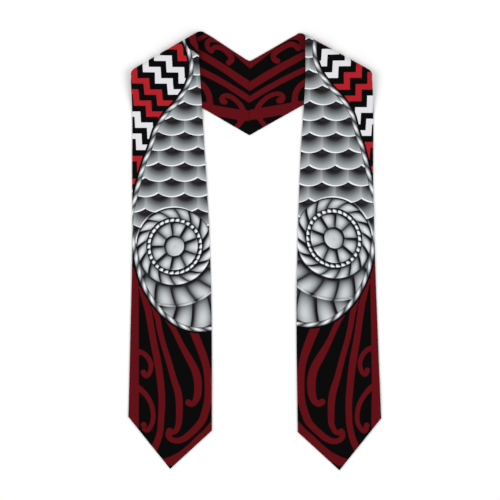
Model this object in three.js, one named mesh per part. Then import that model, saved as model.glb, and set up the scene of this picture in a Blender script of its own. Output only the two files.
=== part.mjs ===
// A graduation stole, laid out flat. Two mirrored halves meet at a seam behind the neck. Each half is
// one long tapered band of outer cloth, with a lining of the same cut on its wearer's side. The band
// runs from its pointed hem up the front, rolls over at the shoulder, and comes back underneath with
// the lining up, as the neck band, to the seam.
// Millimetres. X runs across the stole, Y up towards the shoulders, Z up from the surface it lies on.
import * as THREE from 'three';
import { mergeVertices } from 'three/addons/utils/BufferGeometryUtils.js';

// Cloth and the clearances between cloths
const CLOTH = 1.0;
const CLOTH_GAP = 0.3; // between the outer cloth and its lining
const LAYER_GAP = 0.4; // between a front panel and the neck band that it lies on
const SEAM_GAP = 0.3; // between the two halves, at the seam behind the neck
const EDGE_WIDTH = 2.5; // how far in from a sewn edge each cloth starts to turn down to it
const EDGE_DROP = 0.5; // how much the cloth's face has turned down at that edge

// The cut of one half
const PANEL_LENGTH = 650; // shoulder fold to hem corners, down the middle of the front panel
const SHOULDER_WIDTH = 117;
const HEM_WIDTH = 146;
const HEM_SLANT = 24; // how much lower the inner hem corner is than the outer one
const POINT_DEPTH = 79; // from the middle of the hem corners down to the point
const NECK_DEPTH = 128.5; // height of the neck band along its seam
const NOTCH_ROUND = 3; // softens the inside corner at the top of that seam

// Where the shoulder fold lies, from the top of the neck seam
const SHOULDER_REACH = 152.5;
const SHOULDER_RISE = 15.7;
const FOLD_SLOPE = 29.3; // degrees that the fold falls outwards

// The soft roll at the shoulder fold
const ROLL_RADIUS = 7; // to the middle of the two cloths
const ROLL_SLIP = 1.45; // over 1: the band slips further along the fold than a plain roll takes it
const ROLL_DRAW = 3; // how much each edge of the band draws in where it rolls
const DRAW_LENGTH = 28; // over which the edges come back out
const PUFF_LENGTH = 66; // over which the panel sinks from the top of the roll onto the neck band
const SETTLE_LENGTH = 24; // over which it comes down from the neck band's edge to the surface

// How each half happens to lie. sign is +1 on the side of +X, reach, rise and draw are shares of
// SHOULDER_REACH, SHOULDER_RISE and ROLL_DRAW, and turn is in degrees on top of FOLD_SLOPE.
const LAY = {
  left: { sign: -1, reach: 0.98, rise: 1.08, draw: 1.1, turn: 0.7 },
  right: { sign: 1, reach: 1.02, rise: 0.92, draw: 0.4, turn: -0.7 },
};

// Sections of a front panel. down is a share of PANEL_LENGTH from the fold, and flare how far the
// width has come from SHOULDER_WIDTH to HEM_WIDTH. left and right are how far the middle of that
// half's panel lies outside the place straight below its fold's middle, as shares of HEM_WIDTH.
const SECTIONS = [
  { down: 0, flare: 0, left: 0, right: 0 },
  { down: 0.1, flare: 0.06, left: -0.024, right: 0.012 },
  { down: 0.3, flare: 0.33, left: -0.052, right: -0.016 },
  { down: 0.5, flare: 0.6, left: -0.081, right: -0.024 },
  { down: 0.7, flare: 0.83, left: -0.086, right: -0.018 },
  { down: 1, flare: 1, left: -0.074, right: 0.014 },
];

// Shallow ripples where a panel doesn't quite lie flat. down is a share of PANEL_LENGTH from the
// fold, across goes from -1 at the inner edge to 1 at the outer, rise is a share of CLOTH, length
// and breadth are shares of HEM_WIDTH, and turn is in degrees from straight across the panel.
const RIPPLES = {
  left: [
    { down: 0.34, across: -0.9, rise: 1.1, length: 0.95, breadth: 0.3, turn: 14 },
    { down: 0.56, across: 0.95, rise: 0.9, length: 0.85, breadth: 0.26, turn: -18 },
    { down: 0.86, across: -0.7, rise: 0.8, length: 0.8, breadth: 0.28, turn: 22 },
  ],
  right: [
    { down: 0.4, across: 0.85, rise: 1.0, length: 0.9, breadth: 0.28, turn: 16 },
    { down: 0.64, across: -0.95, rise: 1.1, length: 0.95, breadth: 0.3, turn: -12 },
    { down: 0.9, across: 0.8, rise: 0.8, length: 0.75, breadth: 0.26, turn: -24 },
  ],
};

// How finely the cloth is divided
const COLUMNS = 8; // across the band, between the turned edges
const FRONT_ROWS = 36;
const FRONT_CROWDING = 1.7; // over 1: the front's rows crowd towards the fold, where its height changes most
const ROLL_ROWS = 10;
const NECK_ROWS = 6;

// Worked out from the sizes above
const MIDDLE = CLOTH_GAP / 2 + CLOTH; // the middle of two cloths that lie on the surface
const LIFT = 2 * CLOTH + CLOTH_GAP + LAYER_GAP; // from the neck band's middle up to the panel's
const STACK = 2 * ROLL_RADIUS; // the same at the top of the roll
const QUARTER_ROLL = ROLL_RADIUS * Math.PI / 2;

const mix = (a, b, share) => a + (b - a) * share;
const ease = (share) => THREE.MathUtils.smoothstep(share, 0, 1);

// The fold line and the neck band's edges of one half, seen from above. Both halves are worked out
// with X running outwards from the neck seam, and mirrored by their sign at the end.
function layOut(name) {
  const lay = LAY[name];
  const slope = THREE.MathUtils.degToRad(FOLD_SLOPE + lay.turn);
  const half = {
    sign: lay.sign,
    slope,
    draw: lay.draw * ROLL_DRAW,
    ripples: RIPPLES[name],
    sections: new THREE.CubicInterpolant(
      SECTIONS.map((row) => row.down),
      SECTIONS.flatMap((row) => [row.flare, row[name]]),
      2,
    ),
    middle: new THREE.Vector2(lay.reach * SHOULDER_REACH, lay.rise * SHOULDER_RISE),
    along: new THREE.Vector2(Math.cos(slope), -Math.sin(slope)),
    inward: new THREE.Vector2(-Math.sin(slope), -Math.cos(slope)),
  };
  half.firstDrop = ROLL_RADIUS / Math.cos(slope); // where the panel leaves the roll
  const lead = panelPoint(half, SECTIONS[1].down, 0).sub(panelPoint(half, 0, 0));
  half.slip = ROLL_SLIP * 2 * QUARTER_ROLL * lead.dot(half.along) / lead.dot(half.inward);
  half.neckTop = rolledPoint(half, -Math.PI / 2, -1);
  half.neckFoot = rolledPoint(half, -Math.PI / 2, 1);
  const edge = new THREE.Vector2(0, -NECK_DEPTH).sub(half.neckFoot).normalize();
  half.belowNeck = new THREE.Vector2(-edge.y, edge.x).multiplyScalar(edge.x < 0 ? 1 : -1);
  return half;
}

// How much each edge of the band draws in, at a distance along the band from the fold's outline
function drawIn(half, distance) {
  return half.draw * Math.max(0, 1 - distance / DRAW_LENGTH) ** 2;
}

// A point of the front panel seen from above: down is 0 at the roll and 1 at the hem, across is -1
// at the inner edge and 1 at the outer.
function panelPoint(half, down, across) {
  const drop = mix(half.firstDrop, PANEL_LENGTH, down);
  const share = drop / PANEL_LENGTH;
  const [flare, drift] = half.sections.evaluate(share);
  const draw = drawIn(half, drop - half.firstDrop + QUARTER_ROLL);
  const halfWidth = mix(SHOULDER_WIDTH, HEM_WIDTH, flare) / 2 - draw;
  const tilt = mix(halfWidth * Math.tan(half.slope), -HEM_SLANT / 2, down);
  const point = POINT_DEPTH * Math.max(0, 1 - (1 - share) * PANEL_LENGTH / (2 * POINT_DEPTH)) ** 2;
  return new THREE.Vector2(
    half.middle.x + drift * HEM_WIDTH + across * halfWidth,
    half.middle.y - drop - across * tilt - point * (1 - Math.abs(across)),
  );
}

// A point of the roll seen from above. The angle is a right angle on top, 0 at the stole's outline
// and minus a right angle underneath. The band crosses the fold aslant, so it also moves along it.
function rolledPoint(half, angle, across) {
  const start = panelPoint(half, 0, across).sub(half.middle).dot(half.along);
  const draw = drawIn(half, ROLL_RADIUS * Math.abs(angle)) - drawIn(half, QUARTER_ROLL);
  const along = start - across * draw - half.slip * ease(0.5 - angle / Math.PI);
  return half.middle
    .clone()
    .addScaledVector(half.along, along)
    .addScaledVector(half.inward, ROLL_RADIUS * (1 - Math.cos(angle)));
}

// How far a ripple lifts the cloth at a point seen from above
function rippleHeight(half, point) {
  let height = 0;
  for (const row of half.ripples) {
    const crest = panelPoint(half, row.down, row.across);
    const away = point.clone().sub(crest).rotateAround(new THREE.Vector2(), -row.turn * Math.PI / 180);
    const reach = Math.hypot(away.x / (row.length * HEM_WIDTH), away.y / (row.breadth * HEM_WIDTH));
    height += row.rise * CLOTH * ease(1 - reach);
  }
  return height;
}

// The height of the middle of the two cloths of a front panel: over the neck band it lies on that
// band, near the fold it still puffs up to the roll, and elsewhere it lies on the surface.
function panelHeight(half, point) {
  const fromRoll = point.clone().sub(half.middle).dot(half.inward) - ROLL_RADIUS;
  const pastNeck = point.clone().sub(half.neckFoot).dot(half.belowNeck);
  const carried = LIFT * (1 - ease(pastNeck / SETTLE_LENGTH));
  const puff = (STACK - LIFT) * (1 - ease(fromRoll / PUFF_LENGTH));
  return MIDDLE + carried + puff + rippleHeight(half, point);
}

// Each of these three gives a place in the middle of the two cloths and the way that the outer
// cloth's face looks there.
function panelPlace(half, down, across) {
  const point = panelPoint(half, down, across);
  const step = 0.5;
  const rise = (x, y) => panelHeight(half, point.clone().add(new THREE.Vector2(x, y)));
  const normal = new THREE.Vector3(rise(-step, 0) - rise(step, 0), rise(0, -step) - rise(0, step), 2 * step);
  return { place: new THREE.Vector3(point.x, point.y, panelHeight(half, point)), face: normal.normalize() };
}

function rollPlace(half, angle, across) {
  const point = rolledPoint(half, angle, across);
  const outwards = half.inward.clone().multiplyScalar(-Math.cos(angle));
  return {
    place: new THREE.Vector3(point.x, point.y, MIDDLE + ROLL_RADIUS * (1 + Math.sin(angle))),
    face: new THREE.Vector3(outwards.x, outwards.y, Math.sin(angle)),
  };
}

function neckPlace(half, on, across) {
  const start = rolledPoint(half, -Math.PI / 2, across);
  const end = new THREE.Vector2(SEAM_GAP / 2, -NECK_DEPTH * (1 + across) / 2);
  const point = start.lerp(end, on);
  const released = drawIn(half, QUARTER_ROLL) - drawIn(half, QUARTER_ROLL + on * half.neckTop.length());
  point.addScaledVector(half.along, across * released * (1 - on));
  const steepness = half.neckTop.y / half.neckTop.x;
  point.y += steepness * (Math.hypot(point.x, NOTCH_ROUND) - point.x) * (1 - across) / 2;
  return { place: new THREE.Vector3(point.x, point.y, MIDDLE), face: new THREE.Vector3(0, 0, -1) };
}

// The rows of a cloth, from the hem to the neck seam. The row next to each end is where the cloth
// starts to turn down to it, and edge marks the end rows.
function rowsOf() {
  const rows = [{ at: panelPlace, share: 1, edge: true }];
  for (let i = 0; i < FRONT_ROWS; i += 1) {
    const share = (1 - EDGE_WIDTH / PANEL_LENGTH) * (1 - i / FRONT_ROWS) ** FRONT_CROWDING;
    rows.push({ at: panelPlace, share });
  }
  for (let i = 0; i < ROLL_ROWS; i += 1) {
    rows.push({ at: rollPlace, share: Math.PI * (0.5 - i / ROLL_ROWS) });
  }
  for (let i = 0; i <= NECK_ROWS; i += 1) {
    rows.push({ at: neckPlace, share: (1 - EDGE_WIDTH / SHOULDER_REACH) * i / NECK_ROWS });
  }
  rows.push({ at: neckPlace, share: 1, edge: true });
  return rows;
}

// The columns of a cloth, with the ones where it starts to turn down to its long edges
function columnsOf() {
  const inner = 1 - 2 * EDGE_WIDTH / SHOULDER_WIDTH;
  const columns = [{ across: -1, edge: true }];
  for (let i = 0; i <= COLUMNS; i += 1) {
    columns.push({ across: inner * (2 * i / COLUMNS - 1) });
  }
  columns.push({ across: 1, edge: true });
  return columns;
}

// A box's front and back are divided along opposite diagonals. This turns those of one of them, so
// that both run along the neck band's lower edge, where the panel comes down from that band.
function turnDiagonals(box, half) {
  const index = box.getIndex().array;
  const { start, count } = box.groups[half.sign > 0 ? 5 : 4];
  for (let i = start; i < start + count; i += 6) {
    const [a, b, d, , c] = index.slice(i, i + 6);
    index.set([a, b, c, a, c, d], i);
  }
}

// One cloth of one half: a box divided into rows and columns, whose points are then moved to where
// the cloth lies. near and far are its two faces' distances from the middle of the two cloths, on
// the outer cloth's side, and the far face is the one that turns down at the edges.
function clothGeometry(half, near, far) {
  const rows = rowsOf();
  const columns = columnsOf();
  const box = new THREE.BoxGeometry(1, 1, 1, columns.length - 1, rows.length - 1, 1);
  turnDiagonals(box, half);
  const points = box.getAttribute('position');
  for (let i = 0; i < points.count; i += 1) {
    const row = rows[Math.round((points.getY(i) + 0.5) * (rows.length - 1))];
    const column = columns[Math.round((points.getX(i) + 0.5) * (columns.length - 1))];
    const { place, face } = row.at(half, row.share, half.sign * column.across);
    const isFar = (points.getZ(i) > 0) === (far > near);
    const turned = isFar && (row.edge || column.edge) ? EDGE_DROP * Math.sign(far) : 0;
    place.addScaledVector(face, (isFar ? far : near) - turned);
    points.setXYZ(i, half.sign * place.x, place.y, place.z);
  }
  box.deleteAttribute('normal');
  box.deleteAttribute('uv');
  const geometry = mergeVertices(box, 1e-4);
  geometry.computeVertexNormals();
  return geometry;
}

const outerCloth = new THREE.MeshStandardMaterial({ color: 0x6e6668, roughness: 0.6, metalness: 0 });
const liningCloth = new THREE.MeshStandardMaterial({ color: 0x3a0c10, roughness: 0.65, metalness: 0 });

const stole = new THREE.Group();
for (const name of Object.keys(LAY)) {
  const half = layOut(name);
  const outer = new THREE.Mesh(clothGeometry(half, CLOTH_GAP / 2, MIDDLE), outerCloth);
  const lining = new THREE.Mesh(clothGeometry(half, -CLOTH_GAP / 2, -MIDDLE), liningCloth);
  outer.name = `${name}_outer_cloth`;
  lining.name = `${name}_lining`;
  stole.add(outer, lining);
}

// The origin is the middle of the stole's outline, on the surface that it lies on
const outline = new THREE.Box3().setFromObject(stole);
const centre = outline.getCenter(new THREE.Vector3());
stole.position.set(-centre.x, -centre.y, -outline.min.z);

export default stole;
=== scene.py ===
import math
from types import SimpleNamespace

import bpy
import numpy as np
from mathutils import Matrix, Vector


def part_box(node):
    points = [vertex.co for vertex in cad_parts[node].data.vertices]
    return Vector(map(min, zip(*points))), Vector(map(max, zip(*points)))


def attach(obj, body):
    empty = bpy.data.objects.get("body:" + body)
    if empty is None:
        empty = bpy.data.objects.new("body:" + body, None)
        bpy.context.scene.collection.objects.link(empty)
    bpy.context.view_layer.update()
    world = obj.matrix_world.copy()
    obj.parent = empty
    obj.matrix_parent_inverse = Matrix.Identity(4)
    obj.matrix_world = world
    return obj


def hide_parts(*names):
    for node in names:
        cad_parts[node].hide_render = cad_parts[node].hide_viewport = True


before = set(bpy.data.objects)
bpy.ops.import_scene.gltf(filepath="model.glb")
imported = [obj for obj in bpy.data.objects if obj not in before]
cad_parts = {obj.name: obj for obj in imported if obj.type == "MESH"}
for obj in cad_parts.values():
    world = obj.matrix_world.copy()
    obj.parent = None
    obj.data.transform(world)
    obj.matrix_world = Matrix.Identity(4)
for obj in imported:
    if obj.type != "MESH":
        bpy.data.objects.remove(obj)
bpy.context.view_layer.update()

# The two outer cloths. Each is one long tapered band of printed polyester satin, sewn to a lining of the
# same cut, turned through and pressed. It is folded over at the shoulder, so that its front panel lies
# face up and its neck band comes back underneath to the seam behind the neck.

# The cut, in mm
MM = 0.001
PANEL_LENGTH = 650  # shoulder fold to hem corners
SHOULDER_WIDTH = 117
HEM_WIDTH = 146
HEM_SLANT = 24
POINT_DEPTH = 79
NECK_DEPTH = 128.5
NOTCH_ROUND = 3
SHOULDER_REACH = 152.5  # neck seam to the middle of the fold
SHOULDER_RISE = 15.7
FOLD_SLOPE = 29.3  # degrees

# How it lies: its layers, the open roll at the shoulder, and where the panel comes down to the floor
CLOTH = 1.0
CLOTH_GAP = 0.3
LAYER_GAP = 0.4
SEAM_GAP = 0.04  # closer than in the CAD, where the floor would show through the seam
ROLL_RADIUS = 7
ROLL_SLIP = 1.45
ROLL_DRAW = 3
DRAW_LENGTH = 28
PUFF_LENGTH = 66
SETTLE_LENGTH = 24

MIDDLE = CLOTH_GAP / 2 + CLOTH
LIFT = 2 * CLOTH + CLOTH_GAP + LAYER_GAP
STACK = 2 * ROLL_RADIUS
QUARTER_ROLL = ROLL_RADIUS * math.pi / 2

# Sections down the panel, with their share of its flare. Each half has its own share of the shoulder's
# reach, rise and draw, a turn of its fold in degrees, its drift outwards at each section in hem widths,
# its ripples (down, across, rise in cloths, length and breadth in hem widths, turn in degrees), and how
# far its print lies further down, and further inwards, at each drop from the fold in mm.
SECTION_DOWN = np.array([0, 0.1, 0.3, 0.5, 0.7, 1])
SECTION_FLARE = np.array([0, 0.06, 0.33, 0.6, 0.83, 1])
HALVES = {
    "left": SimpleNamespace(
        sign=-1,
        reach=0.98,
        rise=1.08,
        draw=1.1,
        turn=0.7,
        drift=np.array([0, -0.024, -0.052, -0.081, -0.086, -0.074]),
        ripples=[
            (0.34, -0.9, 1.1, 0.95, 0.3, 14),
            (0.56, 0.95, 0.9, 0.85, 0.26, -18),
            (0.86, -0.7, 0.8, 0.8, 0.28, 22),
        ],
        print_shift=[(30, 0), (160, 3.2), (300, 3.2), (430, 0)],
        print_aside=[(0, 0), (1, 0)],
    ),
    "right": SimpleNamespace(
        sign=1,
        reach=1.02,
        rise=0.92,
        draw=0.4,
        turn=-0.7,
        drift=np.array([0, 0.012, -0.016, -0.024, -0.018, 0.014]),
        ripples=[
            (0.4, 0.85, 1.0, 0.9, 0.28, 16),
            (0.64, -0.95, 1.1, 0.95, 0.3, -12),
            (0.9, 0.8, 0.8, 0.75, 0.26, -24),
        ],
        print_shift=[
            (0, 33.5), (150, 30.5), (300, 20), (400, 14), (475, 11), (560, 5.5), (650, 1.2), (740, 2.5)
        ],
        print_aside=[
            (0, 4.8), (100, 4.1), (200, 2.5), (280, 1.2), (345, 4), (480, 4.6), (536, 4.2), (590, 3.8),
            (620, 2), (645, 0.8), (662, 2.6), (720, 3)
        ],
    ),
}


def mix(a, b, share):
    return a + (b - a) * share


def ease(share):
    share = np.clip(share, 0, 1)
    return share * share * (3 - 2 * share)


def follow(knots, values, at):
    """A smooth curve through the knots, whose slope at each is the mean of its two sides'."""
    steps = np.diff(values) / np.diff(knots)
    slopes = np.concatenate([steps[:1], (steps[:-1] + steps[1:]) / 2, steps[-1:]])
    i = np.clip(np.searchsorted(knots, at, side="right") - 1, 0, len(knots) - 2)
    span = knots[i + 1] - knots[i]
    t = (at - knots[i]) / span
    rise = values[i] * (1 + 2 * t) * (1 - t) ** 2 + values[i + 1] * t * t * (3 - 2 * t)
    return rise + span * (slopes[i] * t * (1 - t) ** 2 + slopes[i + 1] * t * t * (t - 1))


def draw_in(half, distance):
    """How much each edge of the band draws in, at a distance from the fold's outline."""
    return half.draw * ROLL_DRAW * np.maximum(0, 1 - distance / DRAW_LENGTH) ** 2


def panel_point(half, down, across):
    """A point of the front panel seen from above, with X running outwards from the neck seam."""
    drop = mix(half.first_drop, PANEL_LENGTH, down)
    share = drop / PANEL_LENGTH
    flare = follow(SECTION_DOWN, SECTION_FLARE, share)
    half_width = mix(SHOULDER_WIDTH, HEM_WIDTH, flare) / 2
    half_width = half_width - draw_in(half, drop - half.first_drop + QUARTER_ROLL)
    tilt = mix(half_width * math.tan(half.slope), -HEM_SLANT / 2, down)
    point = POINT_DEPTH * np.maximum(0, 1 - (1 - share) * PANEL_LENGTH / (2 * POINT_DEPTH)) ** 2
    x = half.middle[0] + follow(SECTION_DOWN, half.drift, share) * HEM_WIDTH + across * half_width
    y = half.middle[1] - drop - across * tilt - point * (1 - np.abs(across))
    return np.stack(np.broadcast_arrays(x, y), axis=-1)


def rolled_point(half, angle, across):
    """A point of the roll seen from above: a right angle is its top, minus a right angle its foot."""
    start = (panel_point(half, 0, across) - half.middle) @ half.along
    draw = draw_in(half, ROLL_RADIUS * np.abs(angle)) - draw_in(half, QUARTER_ROLL)
    along = start - across * draw - half.slip * ease(0.5 - angle / math.pi)
    inward = ROLL_RADIUS * (1 - np.cos(angle)) + 0 * along
    return half.middle + along[..., None] * half.along + inward[..., None] * half.inward


def panel_height(half, point):
    """The height of the middle of the two cloths: on the neck band, over its edge, or on the floor."""
    from_roll = (point - half.middle) @ half.inward - ROLL_RADIUS
    past_neck = (point - half.neck_foot) @ half.below_neck
    height = MIDDLE + LIFT * (1 - ease(past_neck / SETTLE_LENGTH))
    height = height + (STACK - LIFT) * (1 - ease(from_roll / PUFF_LENGTH))
    for down, across, rise, length, breadth, turn in half.ripples:
        away = point - panel_point(half, down, across)
        c, s = math.cos(math.radians(turn)), math.sin(math.radians(turn))
        away = away @ np.array([[c, -s], [s, c]])
        reach = np.hypot(away[..., 0] / (length * HEM_WIDTH), away[..., 1] / (breadth * HEM_WIDTH))
        height = height + rise * CLOTH * ease(1 - reach)
    return height


def neck_point(half, on, across):
    """A point of the neck band seen from above: on is 0 at the roll's foot and 1 at the seam."""
    start = rolled_point(half, np.full_like(across, -math.pi / 2), across)
    end = np.stack([np.full_like(across, SEAM_GAP / 2), -NECK_DEPTH * (1 + across) / 2], axis=-1)
    point = start + (end - start) * on[..., None]
    run = on * np.linalg.norm(half.neck_top)
    released = draw_in(half, QUARTER_ROLL) - draw_in(half, QUARTER_ROLL + run)
    point = point + (across * released * (1 - on))[..., None] * half.along
    steepness = half.neck_top[1] / half.neck_top[0]
    round_off = np.hypot(point[..., 0], NOTCH_ROUND) - point[..., 0]
    point[..., 1] += steepness * round_off * (1 - across) / 2
    return point


for half in HALVES.values():
    half.slope = math.radians(FOLD_SLOPE + half.turn)
    half.middle = np.array([half.reach * SHOULDER_REACH, half.rise * SHOULDER_RISE])
    half.along = np.array([math.cos(half.slope), -math.sin(half.slope)])
    half.inward = np.array([-math.sin(half.slope), -math.cos(half.slope)])
    half.first_drop = ROLL_RADIUS / math.cos(half.slope)
    lead = panel_point(half, 0.1, 0.0) - panel_point(half, 0.0, 0.0)
    half.slip = ROLL_SLIP * 2 * QUARTER_ROLL * (lead @ half.along) / (lead @ half.inward)
    half.neck_top = rolled_point(half, -math.pi / 2, -1.0)
    half.neck_foot = rolled_point(half, -math.pi / 2, 1.0)
    edge = np.array([0, -NECK_DEPTH]) - half.neck_foot
    half.below_neck = np.array([-edge[1], edge[0]]) / np.linalg.norm(edge) * (1 if edge[0] < 0 else -1)

# Where the CAD part has the top of the neck seam
left_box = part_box("left_outer_cloth")
right_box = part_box("right_outer_cloth")
right_tip = panel_point(HALVES["right"], 1.0, 0.0)
SEAM_TOP = np.array([(left_box[1].x + right_box[0].x) / 2, right_box[0].y - right_tip[1] * MM, 0])

# The closed sheet, in mm: a grid fine enough for the outlines of the print, edges that round down to
# the seam and pucker a little along it, and a slight sag in two waves (length across, length along)
GRID = 1.7
FOLD_ZONE = 60
FOLD_GRID = 3.0
ROLL_ROWS = 17
ROLL_RUN = 22
TURN_WIDTH = 2.5
TURN_DROP = 0.7
TURN_STEPS = [0, 0.35, 0.9, 1.6]
PUCKER_DEPTH = 0.16
PUCKER_PITCH = 11
PUCKER_START = 2
PUCKER_WIDTH = 9
PUCKER_DRIFT = 37
SAG = 0.3
SAG_RUN = 9
SAG_WAVES = [(31, 57), (-90, 44)]
FAR_FROM_EDGE = 99.0

# Below the stepped bands, the print's shift inwards fades towards both edges of the panel
FADE_DROP = 300
OUTER_FADE = 0.4
OUTER_FADE_WIDTH = 35
OUTER_FADE_RUN = 100
INNER_FADE_START = 85
INNER_FADE_WIDTH = 45
INNER_FADE_RUN = 150
INNER_FADE_END = 40


def spaced(length, step, starts=(True, True)):
    """Distances from 0 to length at about that step, with closer ones at each sewn end."""
    first = TURN_STEPS if starts[0] else [0]
    last = TURN_STEPS if starts[1] else [0]
    low = TURN_WIDTH if starts[0] else step
    high = TURN_WIDTH if starts[1] else step
    inner = np.linspace(low, length - high, max(2, round((length - low - high) / step) + 1))
    return np.concatenate([first, inner, length - np.array(last[::-1])])


def lie(half, panel_step):
    """The grid of the middle of the two cloths, its print places, and each spot's way to a sewn edge."""
    across_mm = spaced(SHOULDER_WIDTH, GRID)
    across = (2 * across_mm / SHOULDER_WIDTH - 1)[None, :]
    panel_mm = spaced(PANEL_LENGTH, panel_step, (True, False))
    if panel_step > GRID:
        near_fold = np.arange(PANEL_LENGTH - FOLD_ZONE, PANEL_LENGTH, FOLD_GRID)
        panel_mm = np.concatenate([panel_mm[panel_mm < near_fold[0] - 1], near_fold, [PANEL_LENGTH]])
    down = (1 - panel_mm / PANEL_LENGTH)[:, None]
    angles = np.linspace(math.pi / 2, -math.pi / 2, ROLL_ROWS)[1:-1][:, None]
    neck_length = np.linalg.norm(half.neck_top)
    on = (spaced(neck_length, GRID, (False, True)) / neck_length)[:, None]
    columns = across.shape[1]

    panel = panel_point(half, down, across)
    wave = 1
    for across_length, along_length in SAG_WAVES:
        wave = wave * np.sin(panel[..., 0] / across_length + panel[..., 1] / along_length)
    panel_z = panel_height(half, panel) + SAG * (1 + wave) * ease(down * SAG_RUN)
    rolled = rolled_point(half, angles + 0 * across, across + 0 * angles)
    rolled_z = MIDDLE + ROLL_RADIUS * (1 + np.sin(angles)) + 0 * across
    neck = neck_point(half, on + 0 * across, across + 0 * on)
    neck_z = np.full(neck.shape[:2], MIDDLE)
    flat = np.concatenate([panel, rolled, neck])
    height = np.concatenate([panel_z, rolled_z, neck_z])

    # Unfolded over the shoulder, so that the print runs on round it
    past = np.concatenate([
        np.zeros((len(down), columns)),
        ROLL_RADIUS * (math.pi / 2 - angles) + 0 * across,
        math.pi * ROLL_RADIUS + (neck - half.middle) @ half.inward - ROLL_RADIUS,
    ])
    turned = np.arange(len(flat)) >= len(down)
    along = (flat - half.middle) @ half.along
    unfolded = np.where(
        turned[:, None, None],
        half.middle + along[..., None] * half.along + (ROLL_RADIUS - past)[..., None] * half.inward,
        flat,
    )
    outer_edge = panel[::-1, -1]
    edge_x = np.interp(-unfolded[..., 1], -outer_edge[:, 1], outer_edge[:, 0])
    drop = half.middle[1] - unfolded[..., 1]
    shift = np.interp(drop, *zip(*half.print_shift))
    inwards = edge_x - unfolded[..., 0]
    aside = np.interp(drop, *zip(*half.print_aside))
    below = drop - FADE_DROP
    outer_fade = OUTER_FADE * (1 - ease(inwards / OUTER_FADE_WIDTH)) * ease(below / OUTER_FADE_RUN)
    inner_fade = ease((inwards - INNER_FADE_START) / INNER_FADE_WIDTH) * ease(below / INNER_FADE_RUN)
    inner_fade = inner_fade * ease((PANEL_LENGTH - drop) / INNER_FADE_END)
    aside = aside * (1 - outer_fade) * (1 - inner_fade)
    placed = np.stack([inwards + aside, drop + shift], axis=-1)

    side = np.minimum(across_mm, SHOULDER_WIDTH - across_mm)[None, :]
    end = np.concatenate([panel_mm, np.full(len(angles), FAR_FROM_EDGE), (1 - on[:, 0]) * neck_length])
    to_edge = np.minimum(side, end[:, None])
    roll_run = PANEL_LENGTH + np.arange(len(angles))
    run = np.concatenate([panel_mm, roll_run, PANEL_LENGTH + ROLL_RUN + on[:, 0] * neck_length])
    return SimpleNamespace(
        middle=np.concatenate([flat, height[..., None]], axis=-1),
        print_place=placed,
        to_edge=to_edge,
        side=side + 0 * end[:, None],
        run=run[:, None] + across_mm[None, :],
        lining_up=np.arange(len(flat)) > len(down) + len(angles) / 2,
    )


def cloth_sheet(name, half, grid, near, far):
    """A closed sheet between two distances from the middle of the two cloths."""
    rows = np.gradient(grid.middle, axis=0)
    columns = np.gradient(grid.middle, axis=1)
    face = np.cross(columns, rows)
    face /= np.linalg.norm(face, axis=-1, keepdims=True)
    turn = TURN_DROP * np.clip(1 - grid.to_edge / TURN_WIDTH, 0, 1) ** 2
    pucker = np.sin(grid.run * 2 * math.pi / PUCKER_PITCH + 2 * np.sin(grid.run / PUCKER_DRIFT))
    beside_seam = ease(1 - grid.side / PUCKER_WIDTH) * ease(grid.side / PUCKER_START)
    turn = turn + PUCKER_DEPTH * (0.5 + 0.5 * pucker) * beside_seam
    near_points = grid.middle + face * near
    far_points = grid.middle + face * (far - np.sign(far) * turn[..., None])
    points = np.concatenate([near_points.reshape(-1, 3), far_points.reshape(-1, 3)])
    points = points * [half.sign * MM, MM, MM] + SEAM_TOP

    count = grid.middle.shape[0] * grid.middle.shape[1]
    spot = np.arange(count).reshape(grid.middle.shape[:2])
    quads = np.stack([spot[:-1, :-1], spot[:-1, 1:], spot[1:, 1:], spot[1:, :-1]], axis=-1).reshape(-1, 4)
    rim = np.concatenate([spot[0, :-1], spot[:-1, -1], spot[-1, :0:-1], spot[:0:-1, 0]])
    after = np.roll(rim, -1)
    wall = np.stack([rim, after, after + count, rim + count], axis=-1)
    faces = np.concatenate([quads[:, ::-1], quads + count, wall])
    if (far < 0) != (half.sign < 0):
        faces = faces[:, ::-1]
    mesh = bpy.data.meshes.new(name)
    mesh.from_pydata(points.tolist(), [], faces.tolist())
    mesh.polygons.foreach_set("use_smooth", np.ones(len(mesh.polygons), bool))

    corners = np.empty(len(mesh.loops), int)
    mesh.loops.foreach_get("vertex_index", corners)
    places = grid.print_place.reshape(-1, 2)[corners % count] * MM
    mesh.uv_layers.new(name="print_place").data.foreach_set("uv", places.ravel())
    piece = bpy.data.objects.new(name, mesh)
    bpy.context.scene.collection.objects.link(piece)
    return piece


def note(piece, name, values):
    """Keeps one number for each spot of the cloth, the same on both of its faces."""
    layer = piece.data.attributes.new(name, "FLOAT", "POINT")
    layer.data.foreach_set("value", np.tile(values.ravel(), 2).astype(np.float32))


def smooth(path, step=2.0):
    """A path of a few points, which may carry widths, as a smooth line."""
    path = np.array(path, float)
    run = np.concatenate([[0], np.cumsum(np.linalg.norm(np.diff(path[:, :2], axis=0), axis=1))])
    at = np.linspace(0, run[-1], max(2, round(run[-1] / step)))
    return np.stack([follow(run, column, at) for column in path.T], axis=-1)


def inside_stroke(spots, stroke):
    """How far inside a stroke of points with widths each spot is, and how far along the stroke."""
    best = np.full(spots.shape[:-1], -np.inf)
    where = np.zeros(spots.shape[:-1])
    travelled = 0.0
    for start, end in zip(stroke[:-1], stroke[1:]):
        leg = end[:2] - start[:2]
        length = np.linalg.norm(leg)
        share = np.clip(((spots - start[:2]) @ leg) / length**2, 0, 1)
        distance = np.linalg.norm(spots - start[:2] - share[..., None] * leg, axis=-1)
        inside = mix(start[2], end[2], share) / 2 - distance
        closer = inside > best
        best = np.where(closer, inside, best)
        where = np.where(closer, travelled + share * length, where)
        travelled += length
    return best, where


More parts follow.
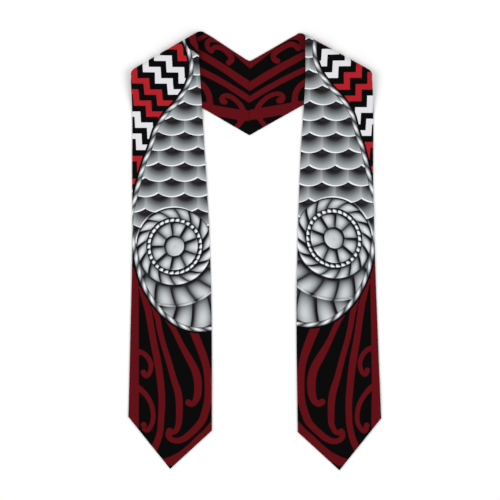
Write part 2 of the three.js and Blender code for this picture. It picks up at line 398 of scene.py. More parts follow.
def inside_region(spots, outline):
    """How far inside a closed outline each spot is, below 0 outside it."""
    outline = np.array(outline, float)[:, :2]
    closed = np.concatenate([outline, outline[:1]])
    distance = inside_stroke(spots, np.column_stack([closed, np.zeros(len(closed))]))[0]
    inside = np.zeros(spots.shape[:-1], bool)
    for (x0, y0), (x1, y1) in zip(closed[:-1], closed[1:]):
        if y0 == y1:
            continue
        crosses = (y0 > spots[..., 1]) != (y1 > spots[..., 1])
        inside ^= crosses & (spots[..., 0] < x0 + (spots[..., 1] - y0) * (x1 - x0) / (y1 - y0))
    return np.where(inside, -distance, distance)


def inside_drawing(spots, strokes, bulbs, regions):
    """How far inside any stroke, bulb or region of an ornament each spot is."""
    inside = np.full(spots.shape[:-1], BARE)
    for stroke in strokes:
        inside = np.maximum(inside, inside_stroke(spots, smooth(stroke))[0])
    for radius, centre in bulbs:
        inside = np.maximum(inside, radius - np.linalg.norm(spots - np.array(centre), axis=-1))
    for outline in regions:
        inside = np.maximum(inside, inside_region(spots, outline))
    return inside


# The ornament printed below the medallion and at the fold, in mm inwards from the panel's outer edge and
# down from the middle of its shoulder fold: stems and hooks as paths of points with their width there,
# the bulbs that end them (radius, centre), and the border. BARE is the depth where nothing is printed.
BARE = -30.0
PANEL_STROKES = [
    [(10, 523, 9), (22.9, 526.5, 8.5), (32, 535, 8.3), (37, 546, 8.2), (36.8, 556, 8), (33.8, 563.5, 7.8),
     (29.3, 567, 7.5), (25.5, 565, 7)],
    [(10, 583.5, 11), (21, 590.8, 9.5), (31.2, 601.5, 8.5), (38.8, 614.5, 8.2), (42.8, 629.5, 8),
     (42.8, 643.5, 8), (39, 655, 8), (32.5, 661.8, 7.8), (27.5, 659.8, 7.5)],
    [(18, 412, 10), (24.1, 434, 10.2), (29.7, 451, 11.2), (33.5, 468.5, 11.4), (36.9, 486, 11.2),
     (42.2, 512.5, 11.6), (48.2, 538.5, 12.2), (54.3, 573.5, 12.2), (57.9, 608.5, 11.6),
     (57.1, 643.5, 11), (55.3, 664.5, 11), (51.5, 678.5, 11.4), (42.5, 699, 12)],
    [(36, 430, 9), (41.5, 448, 9.4), (47.7, 468.5, 9.6), (51.3, 486, 9.4), (58.7, 512.5, 9.2),
     (67.5, 538.5, 9.8), (78.3, 573.5, 10.6), (86, 596, 12.2), (88.4, 612, 12.2), (88.8, 634.5, 11.4),
     (88.2, 648, 10.5), (85.8, 657, 9.5), (81.5, 664, 8.5), (76, 665.5, 8)],
    [(60, 460, 9), (76.2, 486, 9), (90, 512.5, 9.8), (105, 538.5, 12), (114.5, 556, 13),
     (119.6, 573.5, 13.6), (120.6, 590.5, 13.4), (118.9, 604.5, 12), (114.7, 613, 10),
     (109.4, 616.5, 8.5), (104.9, 615, 8)],
    [(104, 476, 13), (111.4, 491, 13.4), (120.6, 512.5, 13.4), (130.8, 538.5, 13), (135.5, 556, 12.5),
     (137.7, 574, 12.5), (139, 594.5, 13), (138.4, 608.5, 13), (134.6, 628, 13), (129.4, 643.5, 12.5),
     (120, 656, 12), (111, 665, 11.5), (98, 675.5, 11), (84.4, 680, 9.5), (74.3, 677, 9), (69.7, 671, 9),
     (70, 665, 9)],
    [(106, -38, 13), (106.4, -28, 13), (107.8, -21.5, 12), (109.2, -16, 10.5), (112, -12, 8),
     (118, -4, 8)],
]
PANEL_BULBS = [
    (4.8, (24.4, 560.2)),
    (5.1, (26.6, 652)),
    (5.3, (103.9, 612.5)),
    (5.8, (72, 663)),
]
PANEL_REGIONS = [
    [(-5, 370), (4, 380), (11.5, 400), (13.1, 434), (15.6, 534), (18, 634), (18.4, 700), (3.5, 700),
     (2, 634), (-5, 560)],
    [(144, 646.5), (132.6, 660.5), (120.5, 671), (104.5, 687), (88.4, 700), (72.3, 708), (59.3, 712.3),
     (64.3, 717.3), (70.5, 723), (78, 724), (170, 660), (170, 630)],
]
# The silver ground: its edge from the fold down past the stepped bands and the panel's full width to
# its lower arc, and the corners that close it
MEDALLION_EDGE = [
    (86, -30), (90.3, -17), (99.7, 10), (100.8, 37.5), (93.5, 61), (82.5, 78), (72.6, 91), (58.6, 105),
    (48, 120), (38.5, 136), (28.4, 169), (18.4, 195), (3.3, 250), (-6, 300), (2.5, 357), (13.5, 399),
    (32.3, 433.5), (49.9, 455.5), (66.4, 469.5), (84.7, 481), (105, 487.5), (121, 489), (145, 487),
]
MEDALLION_CORNERS = {
    "left": [(180, 487), (180, 6), (118, 6), (107.5, -2), (100.5, -5), (95.7, -14.5), (90, -32)],
    "right": [(180, 487), (180, -34), (88, -34)],
}
RIM_STEP = 5.0
RIM_PATH = [np.append(spot, 0) for spot in smooth(MEDALLION_EDGE, RIM_STEP)]

outer_cloths = {}
for side, half in HALVES.items():
    grid = lie(half, GRID)
    piece = cloth_sheet(f"{side}_printed_satin", half, grid, CLOTH_GAP / 2, MIDDLE)
    medallion = [*RIM_PATH, *np.pad(np.array(MEDALLION_CORNERS[side], float), ((0, 0), (0, 1)))]
    note(piece, "in_medallion", inside_region(grid.print_place, medallion))
    to_rim, rim_run = inside_stroke(grid.print_place, RIM_PATH)
    note(piece, "rim_depth", -to_rim)
    note(piece, "rim_run", rim_run)
    note(piece, "in_ornament", inside_drawing(grid.print_place, PANEL_STROKES, PANEL_BULBS, PANEL_REGIONS))
    outer_cloths[side] = piece


def linear(hex_code):
    """An sRGB hex colour as linear red, green, blue and alpha."""
    parts = [int(hex_code[i : i + 2], 16) / 255 for i in (1, 3, 5)]
    return [c / 12.92 if c <= 0.04045 else ((c + 0.055) / 1.055) ** 2.4 for c in parts] + [1.0]


def add_node(tree, kind, inputs=(), output=0, **settings):
    """A node with its settings and its inputs, each a value or a link. Gives the output asked for."""
    node = tree.nodes.new(kind)
    for name, value in settings.items():
        setattr(node, name, value)
    for socket, value in dict(inputs if isinstance(inputs, dict) else enumerate(inputs)).items():
        if isinstance(value, bpy.types.NodeSocket):
            tree.links.new(value, node.inputs[socket])
        else:
            node.inputs[socket].default_value = value
    return node.outputs[output] if node.outputs else node


MATH = "ShaderNodeMath"
MIX = "ShaderNodeMix"
RANGE = "ShaderNodeMapRange"
BLACK = "#030203"
DARK_RED = "#5C0911"
BRIGHT_RED = "#AB1E27"
WHITE = "#DBDADE"
SILVER_TONES = [
    (0.0, "#0B0A0B"),
    (0.14, "#2B292C"),
    (0.34, "#6F7376"),
    (0.6, "#A7ACAF"),
    (0.84, "#D3D5D8"),
    (1.0, "#ECECEF"),
]

# The stepped bands beside the medallion, in mm: each step's width and height, the thickness of its
# upright and of its level, where the first ones start, how the bands lean, and where they end
STEP_WIDTH = 20.5
STEP_HEIGHT = 19.8
UPRIGHT = 10.6
LEVEL = 9.5
FIRST_UPRIGHT = 30.8
FIRST_BAND = 26.4
LEAN = 0.05
BANDS_END = 300
BANDS_INNER_LIMIT = 98.6
BANDS_SPREAD = 0.45

# The medallion, in mm: rings about one centre (inner and outer radius, number of petals or beads, twist)
# with a fan of petals in two rows below them, on a ground of overlapping scales, with a rope as its rim
MEDALLION_CENTRE = (74, 342)
RINGS = [
    (-17, 17, 0, 0),
    (18, 41, 9, 0),
    (42, 48, 30, 0),
    (49, 66, 16, 0.6),
]
FAN = [
    (68, 104, 17, 0.4),
    (100, 150, 23, -0.5),
]
SCALE_WIDTH = 46
SCALE_DEPTH = 27
SCALE_RADIUS = 41
RIM_WIDTH = 7.5
RIM_TWIST = 13
OUTLINE_WIDTH = 3.2

# How its relief turns into printed greys: the shape of a petal's crown, the greys of a scale from its
# middle to its edge, and the light from above
CROWN_POWER = 0.6
SCALE_MIDDLE = 0.4
SCALE_TOP = 0.8
HEIGHT_TONE = 0.8
DEEPEST_TONE = 0.1
SLOPE_TONE = 1.1
LIGHT_STEP = 1.8
RIM_DEEPEST_TONE = 0.12
PRINT_BLUR = 0.3

# The weave in mm, with slubs that run lengthwise and a broad, faint unevenness in its sheen
WARP_PITCH = 0.5
WEFT_PITCH = 1.25
WARP_SHARE = 0.6
SLUB_STRETCH = (2.2, 0.12, 1)
SLUB_SCALE = 0.6
SLUB_HEIGHT = 3.0
CLOUD_SCALE = 0.02


def satin_tree(name):
    """An empty material, and its print place in mm: a inwards from the outer edge, d down from the fold."""
    material = bpy.data.materials.new(name)
    material.use_nodes = True
    tree = material.node_tree
    tree.nodes.clear()
    place = add_node(tree, "ShaderNodeUVMap", uv_map="print_place")
    place = add_node(tree, "ShaderNodeVectorMath", {0: place, 3: 1 / MM}, operation="SCALE")
    split = add_node(tree, "ShaderNodeSeparateXYZ", [place]).node
    a, d = split.outputs[0], split.outputs[1]
    return material, tree, place, a, d


def finish_satin(tree, ink, place, a, d):
    """Polyester satin over its ink: long warp floats with small weft dips, a soft sheen, no hard gloss."""
    warp = add_node(tree, MATH, [a, 2 * math.pi / WARP_PITCH], operation="MULTIPLY")
    warp = add_node(tree, MATH, [warp], operation="SINE")
    weft = add_node(tree, MATH, [d, 2 * math.pi / WEFT_PITCH], operation="MULTIPLY")
    weft = add_node(tree, MATH, [weft], operation="SINE")
    weave = add_node(tree, MATH, [warp, WARP_SHARE, weft], operation="MULTIPLY_ADD")
    lengthwise = add_node(tree, "ShaderNodeMapping", {0: place, 3: SLUB_STRETCH})
    slub = add_node(tree, "ShaderNodeTexNoise", {"Vector": lengthwise, "Scale": SLUB_SCALE, "Detail": 3})
    cloud = add_node(tree, "ShaderNodeTexNoise", {"Vector": place, "Scale": CLOUD_SCALE, "Detail": 2})
    tone = add_node(tree, RANGE, {0: slub, 1: 0.25, 2: 0.75, 3: 0.93, 4: 1.05})
    inked = add_node(tree, "ShaderNodeVectorMath", {0: ink, 3: tone}, operation="SCALE")
    height = add_node(tree, MATH, [slub, SLUB_HEIGHT, weave], operation="MULTIPLY_ADD")
    bump = add_node(tree, "ShaderNodeBump", {"Strength": 0.18, "Distance": 0.00012, "Height": height})
    rough = add_node(tree, RANGE, {0: cloud, 1: 0.3, 2: 0.7, 3: 0.46, 4: 0.6})
    shader = add_node(
        tree,
        "ShaderNodeBsdfPrincipled",
        {
            "Base Color": inked,
            "Roughness": rough,
            "Normal": bump,
            "Specular IOR Level": 0.035,
            "Sheen Weight": 0.01,
            "Sheen Roughness": 0.4,
        },
    )
    add_node(tree, "ShaderNodeOutputMaterial", [shader])


def medallion_height(tree, a, d):
    """The printed relief of the medallion and its scales at a place, 0 deep and 1 high."""
    x = add_node(tree, MATH, [a, MEDALLION_CENTRE[0]], operation="SUBTRACT")
    y = add_node(tree, MATH, [d, MEDALLION_CENTRE[1]], operation="SUBTRACT")
    centred = add_node(tree, "ShaderNodeCombineXYZ", [x, y])
    radius = add_node(tree, "ShaderNodeVectorMath", [centred], output=1, operation="LENGTH")
    angle = add_node(tree, MATH, [y, x], operation="ARCTAN2")
    relief = [0.0, 0.0]
    for inner, outer, count, twist in RINGS + FAN:
        share = add_node(tree, RANGE, {0: radius, 1: inner, 2: outer})
        rest = add_node(tree, MATH, [1.0, share], operation="SUBTRACT")
        crown = add_node(tree, MATH, [share, rest], operation="MULTIPLY")
        crown = add_node(tree, MATH, [crown, 4.0], operation="MULTIPLY")
        crown = add_node(tree, MATH, [crown, CROWN_POWER], operation="POWER")
        outwards = add_node(tree, MATH, [share, 0.5, 0.5], operation="MULTIPLY_ADD")
        crown = add_node(tree, MATH, [crown, outwards], operation="MULTIPLY")
        turns = add_node(tree, MATH, [share, twist, 0.5], operation="MULTIPLY_ADD")
        turns = add_node(tree, MATH, [angle, count / (2 * math.pi), turns], operation="MULTIPLY_ADD")
        off = add_node(tree, MATH, [turns], operation="FRACT")
        off = add_node(tree, MATH, [off, 2.0, -1.0], operation="MULTIPLY_ADD")
        off = add_node(tree, MATH, [off, off], operation="MULTIPLY")
        petal = add_node(tree, MATH, [1.0, off], operation="SUBTRACT")
        kind = (inner, outer, count, twist) in FAN
        relief[kind] = add_node(tree, MATH, [crown, petal, relief[kind]], operation="MULTIPLY_ADD")

    row = add_node(tree, MATH, [d, 1 / SCALE_DEPTH], operation="MULTIPLY")
    down = add_node(tree, MATH, [row], operation="FRACT")
    down = add_node(tree, MATH, [down, SCALE_DEPTH], operation="MULTIPLY")
    row = add_node(tree, MATH, [row], operation="FLOOR")
    column = add_node(tree, MATH, [row, 0.5], operation="MULTIPLY")
    column = add_node(tree, MATH, [a, 1 / SCALE_WIDTH, column], operation="MULTIPLY_ADD")
    column = add_node(tree, MATH, [column], operation="FRACT")
    off = add_node(tree, MATH, [column, 0.5], operation="SUBTRACT")
    off = add_node(tree, MATH, [off], operation="ABSOLUTE")
    off = add_node(tree, MATH, [off, SCALE_WIDTH], operation="MULTIPLY")
    beside = add_node(tree, MATH, [off, SCALE_WIDTH / 2], operation="SUBTRACT")
    above = add_node(tree, MATH, [down, SCALE_DEPTH], operation="ADD")
    upper = add_node(tree, "ShaderNodeCombineXYZ", [beside, above])
    upper = add_node(tree, "ShaderNodeVectorMath", [upper], output=1, operation="LENGTH")
    lower = add_node(tree, "ShaderNodeCombineXYZ", [off, down])
    lower = add_node(tree, "ShaderNodeVectorMath", [lower], output=1, operation="LENGTH")
    on_upper = add_node(tree, MATH, [upper, SCALE_RADIUS], operation="LESS_THAN")
    reach = add_node(tree, MIX, {0: on_upper, 2: lower, 3: upper}, data_type="FLOAT")
    reach = add_node(tree, MATH, [reach, 1 / SCALE_RADIUS], operation="MULTIPLY")
    scales = add_node(tree, RANGE, {0: reach, 1: SCALE_MIDDLE, 2: 1.0, 3: 0.0, 4: SCALE_TOP})
    is_below = add_node(tree, MATH, [y, 0.0], operation="GREATER_THAN")
    ground = add_node(tree, MIX, {0: is_below, 2: scales, 3: relief[1]}, data_type="FLOAT")
    outside = add_node(tree, MATH, [radius, RINGS[-1][1] + 1], operation="GREATER_THAN")
    return add_node(tree, MIX, {0: outside, 2: relief[0], 3: ground}, data_type="FLOAT")


# Printed polyester satin: dye-sublimation ink in a smooth woven face, which gives flat, crisp colour
# under a faint lengthwise sheen. The black is deep, and the silver is a printed grey, not a metal. The
# warp is drawn at 0.5 mm, coarser than real satin's, so that it shows at all.
outer_satin, tree, place, a, d = satin_tree("polyester_satin_dye_printed")
since = add_node(tree, MATH, [d, FIRST_BAND], operation="SUBTRACT")
leant = add_node(tree, MATH, [since, -LEAN, a], operation="MULTIPLY_ADD")
first_step = -FIRST_UPRIGHT / STEP_WIDTH
upper_step = add_node(tree, MATH, [leant, 1 / STEP_WIDTH, first_step], operation="MULTIPLY_ADD")
lower_step = add_node(tree, MATH, [upper_step, UPRIGHT / STEP_WIDTH], operation="ADD")
upper_step = add_node(tree, MATH, [upper_step], operation="FLOOR")
lower_step = add_node(tree, MATH, [lower_step], operation="FLOOR")
below = add_node(tree, MATH, [upper_step, -STEP_HEIGHT, since], operation="MULTIPLY_ADD")
band = add_node(tree, MATH, [below, 1 / (2 * STEP_HEIGHT)], operation="MULTIPLY")
band = add_node(tree, MATH, [band], operation="FLOOR")
reach = add_node(tree, MATH, [lower_step, -STEP_HEIGHT, since], operation="MULTIPLY_ADD")
reach = add_node(tree, MATH, [band, -2 * STEP_HEIGHT, reach], operation="MULTIPLY_ADD")
on_band = add_node(tree, MATH, [reach, LEVEL], operation="LESS_THAN")
pair = add_node(tree, MATH, [band, 1.0], operation="ADD")
pair = add_node(tree, MATH, [pair, 4.0], operation="FLOORED_MODULO")
is_white = add_node(tree, MATH, [pair, 2.0], operation="LESS_THAN")
band_inks = {0: is_white, 6: linear(BRIGHT_RED), 7: linear(WHITE)}
band_ink = add_node(tree, MIX, band_inks, 2, data_type="RGBA")
above_end = add_node(tree, MATH, [d, BANDS_END], operation="LESS_THAN")
inner_limit = add_node(tree, MATH, [d, BANDS_SPREAD, BANDS_INNER_LIMIT], operation="MULTIPLY_ADD")
within = add_node(tree, MATH, [a, inner_limit], operation="LESS_THAN")
on_band = add_node(tree, MATH, [on_band, above_end], operation="MULTIPLY")
on_band = add_node(tree, MATH, [on_band, within], operation="MULTIPLY")
ink = add_node(tree, MIX, {0: on_band, 6: linear(BLACK), 7: band_ink}, 2, data_type="RGBA")

silver = add_node(tree, "ShaderNodeAttribute", output=2, attribute_name="in_medallion")
ornament = add_node(tree, "ShaderNodeAttribute", output=2, attribute_name="in_ornament")
ornament = add_node(tree, RANGE, {0: ornament, 1: -PRINT_BLUR, 2: PRINT_BLUR})
ink = add_node(tree, MIX, {0: ornament, 6: ink, 7: linear(DARK_RED)}, 2, data_type="RGBA")
outlined = add_node(tree, MATH, [silver, -OUTLINE_WIDTH], operation="GREATER_THAN")
ink = add_node(tree, MIX, {0: outlined, 6: ink, 7: linear(BLACK)}, 2, data_type="RGBA")

height = medallion_height(tree, a, d)
lit_a = add_node(tree, MATH, [a, LIGHT_STEP], operation="ADD")
lit_d = add_node(tree, MATH, [d, LIGHT_STEP], operation="ADD")
lit_height = medallion_height(tree, lit_a, lit_d)
slope = add_node(tree, MATH, [height, lit_height], operation="SUBTRACT")
tone = add_node(tree, MATH, [height, HEIGHT_TONE, DEEPEST_TONE], operation="MULTIPLY_ADD")
tone = add_node(tree, MATH, [slope, SLOPE_TONE, tone], operation="MULTIPLY_ADD")
rim_depth = add_node(tree, "ShaderNodeAttribute", output=2, attribute_name="rim_depth")
rim = add_node(tree, RANGE, {0: rim_depth, 1: 0, 2: RIM_WIDTH})
rim_rest = add_node(tree, MATH, [1.0, rim], operation="SUBTRACT")
rim_crown = add_node(tree, MATH, [rim, rim_rest], operation="MULTIPLY")
rim_crown = add_node(tree, MATH, [rim_crown, 4.0], operation="MULTIPLY")
rim_run = add_node(tree, "ShaderNodeAttribute", output=2, attribute_name="rim_run")
twist = add_node(tree, MATH, [rim_run, 1 / RIM_TWIST, rim], operation="MULTIPLY_ADD")
twist = add_node(tree, MATH, [twist, 1.0], operation="PINGPONG")
rim_tone = add_node(tree, MATH, [rim_crown, twist, RIM_DEEPEST_TONE], operation="MULTIPLY_ADD")
on_rim = add_node(tree, MATH, [rim_depth, RIM_WIDTH], operation="LESS_THAN")
tone = add_node(tree, MIX, {0: on_rim, 2: tone, 3: rim_tone}, data_type="FLOAT")
silver_ink = add_node(tree, "ShaderNodeValToRGB", [tone])
ramp = silver_ink.node.color_ramp
while len(ramp.elements) < len(SILVER_TONES):
    ramp.elements.new(0.5)
for element, (position, hex_code) in zip(ramp.elements, SILVER_TONES):
    element.position = position
    element.color = linear(hex_code)
on_silver = add_node(tree, MATH, [silver, 0.0], operation="GREATER_THAN")
ink = add_node(tree, MIX, {0: on_silver, 6: ink, 7: silver_ink}, 2, data_type="RGBA")
finish_satin(tree, ink, place, a, d)

for side, piece in outer_cloths.items():
    piece.data.materials.append(outer_satin)
    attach(piece, "root")
    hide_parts(f"{side}_outer_cloth")

# The two linings. Each is a sheet of the same satin and cut as its outer cloth, sewn to its edges and
# lying 0.3 mm inside it. Behind the neck the band lies lining up, with chevrons and scrolls printed in
# dark red on black. Under the front panels it is plain black.
LINING_STEP = 8.0
# The ornament in mm outwards from the neck seam and up from its top, as the cloth lies: strokes with
# their width at each point, the bulbs that end them (radius, centre), and the chevrons and borders
NECK_STROKES = {
    "left": [
        [(66.4, 19.7, 8), (72.4, 24.4, 8), (73.8, 31.7, 8.5), (70.4, 37.6, 8), (63.7, 38, 7),
         (54, 34.8, 4), (46, 30, 1)],
        [(66.4, 20.4, 8), (60, 25.5, 8.8), (50, 24.6, 8.8), (42, 20, 9.2), (36, 14, 9.6), (31.6, 8, 10),
         (30.9, 2.9, 9.3), (33.8, -0.2, 8.5)],
        [(43.5, -71, 7.5), (47.8, -69, 8), (48.6, -64, 8), (45.2, -60, 8), (40, -58.9, 8.2),
         (30, -62.5, 8), (20, -70.8, 8.4), (13, -80, 9), (10.5, -90, 9.5)],
        [(90, -34, 10), (85.2, -37.9, 10.2), (77.8, -45.3, 10.4), (72.4, -54.6, 10.5), (69.8, -64, 10.5),
         (69.2, -76, 11)],
        [(71, 47.5, 4), (80, 44, 6.5), (93, 38, 7)],
        [(11, -100, 9), (16.5, -107, 9), (23, -116, 8)],
    ],
    "right": [
        [(47.5, 1, 8.5), (43, 4.6, 9), (42, 11, 9.4), (46, 16.5, 9.6), (54, 22, 9.2), (64, 28, 9.2),
         (74, 30.8, 9), (82.5, 27.5, 9)],
        [(12, -90, 9.5), (14.5, -80.5, 9), (19, -74, 8.6), (24, -68.3, 8.4), (34, -60.6, 7.8),
         (44, -56.5, 7.8), (52, -55.9, 8), (57.5, -59, 8.4), (59, -64, 8.4), (56, -68.5, 8)],
        [(104, -31.5, 9), (94, -37.5, 9), (87.5, -43.5, 9.6), (82.5, -51, 10), (80, -59, 10.3),
         (79.3, -70, 11)],
        [(17, -98, 8), (18.6, -100.8, 8), (26.6, -110.9, 8), (30, -116, 8)],
    ],
}
NECK_BULBS = {
    "left": [(5.2, (66.4, 19.7)), (5.0, (35.8, -1.2)), (4.8, (43.3, -70.3))],
    "right": [(4.9, (49, 1.6)), (5.5, (85.2, 24.2)), (5.2, (52.1, -67.5))],
}
NECK_REGIONS = {
    "left": [
        [(-4, 10), (-4, -14.5), (0, -11), (5, -6.6), (10, -1.8), (20, 6.8), (30, 15.8), (40, 24.2),
         (50, 31.3), (60, 36.5), (76, 48), (84, 70)],
        [(-4, -36.2), (0, -33.5), (10, -27.2), (40, -7), (60, 5.2), (80, 17), (95, 26), (95, 11), (80, 3),
         (60, -8.9), (40, -22.3), (20, -37), (0, -50.5), (-4, -53.2)],
        [(-4, -61.5), (0, -59), (20, -46.3), (40, -33.8), (60, -22.3), (80, -12.3), (95, -5), (95, -17),
         (80, -24.6), (60, -34.2), (40, -45.6), (20, -58.7), (0, -72), (-4, -74.5)],
        [(-4, -86), (20, -83.2), (40, -79.7), (60, -76.2), (90, -67), (90, -80), (62, -96), (50, -96),
         (30, -99.8), (10, -103), (-4, -103.5)],
    ],
    "right": [
        [(-4, 10), (-4, -15.5), (4, -9.7), (14, -1.8), (24, 5.8), (34, 14.2), (44, 22.8), (54, 29.8),
         (64, 36), (74, 39.3), (84, 38.4), (88.5, 34), (88, 28), (90, 22.5), (104, 20), (104, 60),
         (80, 60)],
        [(-4, -37.5), (4, -32.9), (24, -20.2), (54, -3.1), (84, 12.6), (104, 22), (104, 10.5), (84, -0.5),
         (54, -18), (24, -36.4), (4, -48.8), (-4, -54)],
        [(-4, -62.5), (4, -57.8), (24, -45.3), (54, -28.8), (84, -14.1), (104, -5), (104, -15),
         (84, -24.6), (54, -40), (24, -56.7), (4, -69), (-4, -74)],
        [(-4, -85.5), (4, -83.6), (24, -80), (44, -76.6), (64, -73.1), (84, -70), (104, -66), (104, -72),
         (64, -94), (54, -93.2), (34, -96.8), (4, -101.5), (-4, -102.5)],
    ],
}

linings = {}
for side, half in HALVES.items():
    grid = lie(half, LINING_STEP)
    piece = cloth_sheet(f"{side}_lining_satin", half, grid, -CLOTH_GAP / 2, -MIDDLE)
    drawing = NECK_STROKES[side], NECK_BULBS[side], NECK_REGIONS[side]
    ornament = inside_drawing(grid.middle[..., :2], *drawing)
    note(piece, "in_ornament", np.where(grid.lining_up[:, None], ornament, BARE))
    linings[side] = piece

# The same polyester satin, dye-printed in one dark red on its black
lining_satin, tree, place, a, d = satin_tree("polyester_satin_lining")
ornament = add_node(tree, "ShaderNodeAttribute", output=2, attribute_name="in_ornament")
ornament = add_node(tree, RANGE, {0: ornament, 1: -PRINT_BLUR, 2: PRINT_BLUR})
ink = add_node(tree, MIX, {0: ornament, 6: linear(BLACK), 7: linear(DARK_RED)}, 2, data_type="RGBA")
finish_satin(tree, ink, place, a, d)

for side, piece in linings.items():
    piece.data.materials.append(lining_satin)
    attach(piece, "root")
    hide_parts(f"{side}_lining")

# The seam behind the neck. The two halves are joined edge to edge by short hand-drawn ladder stitches
# of black polyester thread, each bedded in the rounded edges of both linings.
STITCH_PITCH = 3.2
STITCH_LENGTH = 2.8
THREAD_WIDTH = 0.36
STITCH_SLANT = 0.25
STITCH_SINK = 0.1
END_DEPTH = 1.6  # thread radii below the lining's face
CREST_HEIGHT = 2.4  # thread radii above it
SEAM_START = 3
SEAM_MARGIN = 4

stitch_tree = bpy.data.node_groups.new("ladder_stitches", "GeometryNodeTree")
stitch_tree.interface.new_socket("Geometry", in_out="OUTPUT", socket_type="NodeSocketGeometry")
sockets = {}
for label, value in {
    "Seam length": (NECK_DEPTH - SEAM_MARGIN) * MM,
    "Stitch pitch": STITCH_PITCH * MM,
    "Stitch length": STITCH_LENGTH * MM,
    "Thread radius": THREAD_WIDTH / 2 * MM,
}.items():
    socket = stitch_tree.interface.new_socket(label, in_out="INPUT", socket_type="NodeSocketFloat")
    sockets[socket.identifier] = value
given = stitch_tree.nodes.new("NodeGroupInput").outputs

# Polyester sewing thread: twisted, dull black
thread = bpy.data.materials.new("polyester_sewing_thread")
thread.use_nodes = True
tree = thread.node_tree
tree.nodes.clear()
spot = add_node(tree, "ShaderNodeTexCoord", output=3)
twist = add_node(
    tree, "ShaderNodeTexWave", {"Vector": spot, "Scale": 900, "Distortion": 1.5}, bands_direction="DIAGONAL"
)
# Painted shade: the thread's colour is darker in the grooves of its twist and lighter on its crests,
# following the bump
shade = add_node(tree, MIX, {0: twist, 6: linear("#030303"), 7: linear("#0D0C0C")}, 2, data_type="RGBA")
bump = add_node(tree, "ShaderNodeBump", {"Strength": 0.5, "Distance": 0.00008, "Height": twist})
shader = add_node(
    tree,
    "ShaderNodeBsdfPrincipled",
    {"Base Color": shade, "Roughness": 0.7, "Normal": bump, "Specular IOR Level": 0.08},
)
add_node(tree, "ShaderNodeOutputMaterial", [shader])

seam_end = add_node(stitch_tree, MATH, [given["Seam length"], -1.0], operation="MULTIPLY")
seam_foot = add_node(stitch_tree, "ShaderNodeCombineXYZ", [0.0, seam_end, 0.0])
seam = add_node(stitch_tree, "GeometryNodeCurvePrimitiveLine", {"End": seam_foot})
spacing = {"Curve": seam, "Length": given["Stitch pitch"]}
spots = add_node(stitch_tree, "GeometryNodeCurveToPoints", spacing, mode="LENGTH")
half_length = add_node(stitch_tree, MATH, [given["Stitch length"], 0.5], operation="MULTIPLY")
slant = add_node(stitch_tree, MATH, [half_length, STITCH_SLANT], operation="MULTIPLY")
end_depth = add_node(stitch_tree, MATH, [given["Thread radius"], -END_DEPTH], operation="MULTIPLY")
stitch_end = add_node(stitch_tree, "ShaderNodeCombineXYZ", [half_length, slant, end_depth])
stitch_start = add_node(stitch_tree, "ShaderNodeVectorMath", [stitch_end, (-1, -1, 1)], operation="MULTIPLY")
crest_height = add_node(stitch_tree, MATH, [given["Thread radius"], CREST_HEIGHT], operation="MULTIPLY")
crest = add_node(stitch_tree, "ShaderNodeCombineXYZ", [0.0, 0.0, crest_height])
arc = add_node(
    stitch_tree,
    "GeometryNodeCurveQuadraticBezier",
    {"Resolution": 6, "Start": stitch_start, "Middle": crest, "End": stitch_end},
)
circle = {"Resolution": 6, "Radius": given["Thread radius"]}
section = add_node(stitch_tree, "GeometryNodeCurvePrimitiveCircle", circle)
swept = {"Curve": arc, "Profile Curve": section, "Fill Caps": True}
stitch = add_node(stitch_tree, "GeometryNodeCurveToMesh", swept)
repeated = {"Points": spots, "Instance": stitch}
placed = add_node(stitch_tree, "GeometryNodeInstanceOnPoints", repeated)
placed = add_node(stitch_tree, "GeometryNodeRealizeInstances", [placed])
placed = add_node(stitch_tree, "GeometryNodeSetMaterial", {"Geometry": placed, "Material": thread})
add_node(stitch_tree, "NodeGroupOutput", [placed])

carrier = bpy.data.objects.new("stitch_carrier", bpy.data.meshes.new("stitch_carrier"))
bpy.context.scene.collection.objects.link(carrier)
growth = carrier.modifiers.new("stitches", "NODES")
growth.node_group = stitch_tree
for identifier, value in sockets.items():
    growth[identifier] = value
evaluated = carrier.evaluated_get(bpy.context.evaluated_depsgraph_get())
stitch_mesh = bpy.data.meshes.new_from_object(evaluated)
stitch_mesh.name = "neck_seam_stitches"
spots = np.empty(len(stitch_mesh.vertices) * 3)
stitch_mesh.vertices.foreach_get("co", spots)
spots = spots.reshape(-1, 3) + SEAM_TOP + [0, -SEAM_START * MM, (2 * MIDDLE - STITCH_SINK) * MM]
stitch_mesh.vertices.foreach_set("co", spots.ravel())
bpy.data.objects.remove(carrier)
stitches = bpy.data.objects.new("neck_seam_stitches", stitch_mesh)
bpy.context.scene.collection.objects.link(stitches)
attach(stitches, "root")

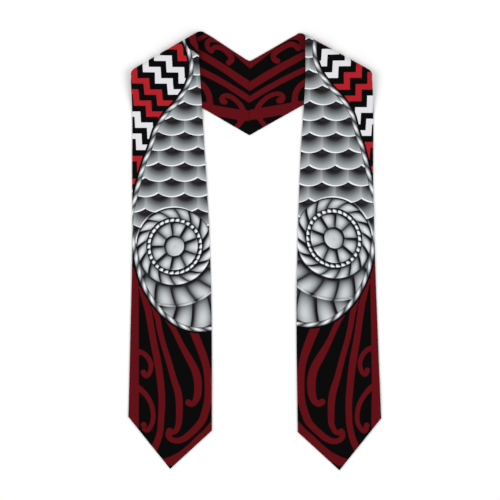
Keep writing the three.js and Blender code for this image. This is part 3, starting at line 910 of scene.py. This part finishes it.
# The stage: a seamless sheet of pale matt paper with the stole laid on it, two wide soft lights and an
# even pale surround.
FLOOR = -0.0003
REACH = 3
LIGHT_SIZE = 2.4
LIGHTS = [  # name, place, watts
    ("light_left", (-2.2, 0.15, 2.6), 42),
    ("light_right", (2.2, -0.15, 2.6), 38),
]
SURROUND_STRENGTH = 0.65
floor_mesh = bpy.data.meshes.new("paper_floor")
corners = [(-REACH, -REACH, FLOOR), (REACH, -REACH, FLOOR), (REACH, REACH, FLOOR), (-REACH, REACH, FLOOR)]
floor_mesh.from_pydata(corners, [], [(0, 1, 2, 3)])
floor = bpy.data.objects.new("paper_floor", floor_mesh)
bpy.context.scene.collection.objects.link(floor)
# Uncoated white paper, with its faint fibre
paper = bpy.data.materials.new("uncoated_paper")
paper.use_nodes = True
tree = paper.node_tree
tree.nodes.clear()
spot = add_node(tree, "ShaderNodeTexCoord", output=3)
fibre = add_node(tree, "ShaderNodeTexNoise", {"Vector": spot, "Scale": 400, "Detail": 3})
shade = add_node(tree, MIX, {0: fibre, 6: linear("#F4F4F4"), 7: linear("#F8F8F8")}, 2, data_type="RGBA")
matt = {"Base Color": shade, "Roughness": 0.95, "Specular IOR Level": 0.1}
shader = add_node(tree, "ShaderNodeBsdfPrincipled", matt)
add_node(tree, "ShaderNodeOutputMaterial", [shader])
floor.data.materials.append(paper)

for name, place, power in LIGHTS:
    lamp = bpy.data.lights.new(name, "AREA")
    lamp.shape = "DISK"
    lamp.size = LIGHT_SIZE
    lamp.energy = power
    light = bpy.data.objects.new(name, lamp)
    light.location = place
    light.rotation_euler = (-light.location).to_track_quat("-Z", "Y").to_euler()
    bpy.context.scene.collection.objects.link(light)

world = bpy.data.worlds.new("pale_surround")
world.use_nodes = True
world.node_tree.nodes["Background"].inputs["Color"].default_value = linear("#FFFFFF")
world.node_tree.nodes["Background"].inputs["Strength"].default_value = SURROUND_STRENGTH
bpy.context.scene.world = world
bpy.context.scene.view_settings.view_transform = "Standard"

# The camera looks straight down at the laid-out stole, as the photograph does
VIEW_WIDTH = 0.875
VIEW_CENTRE = (-0.0084, 0.0014)
VIEW_HEIGHT = 6.0
VIEW_END = 50
SENSOR_WIDTH = 36
lens = bpy.data.cameras.new("camera")
lens.sensor_width = SENSOR_WIDTH
lens.lens = SENSOR_WIDTH * VIEW_HEIGHT / VIEW_WIDTH
lens.clip_end = VIEW_END
camera = bpy.data.objects.new("camera", lens)
camera.location = (*VIEW_CENTRE, VIEW_HEIGHT)
bpy.context.scene.collection.objects.link(camera)
bpy.context.scene.camera = camera
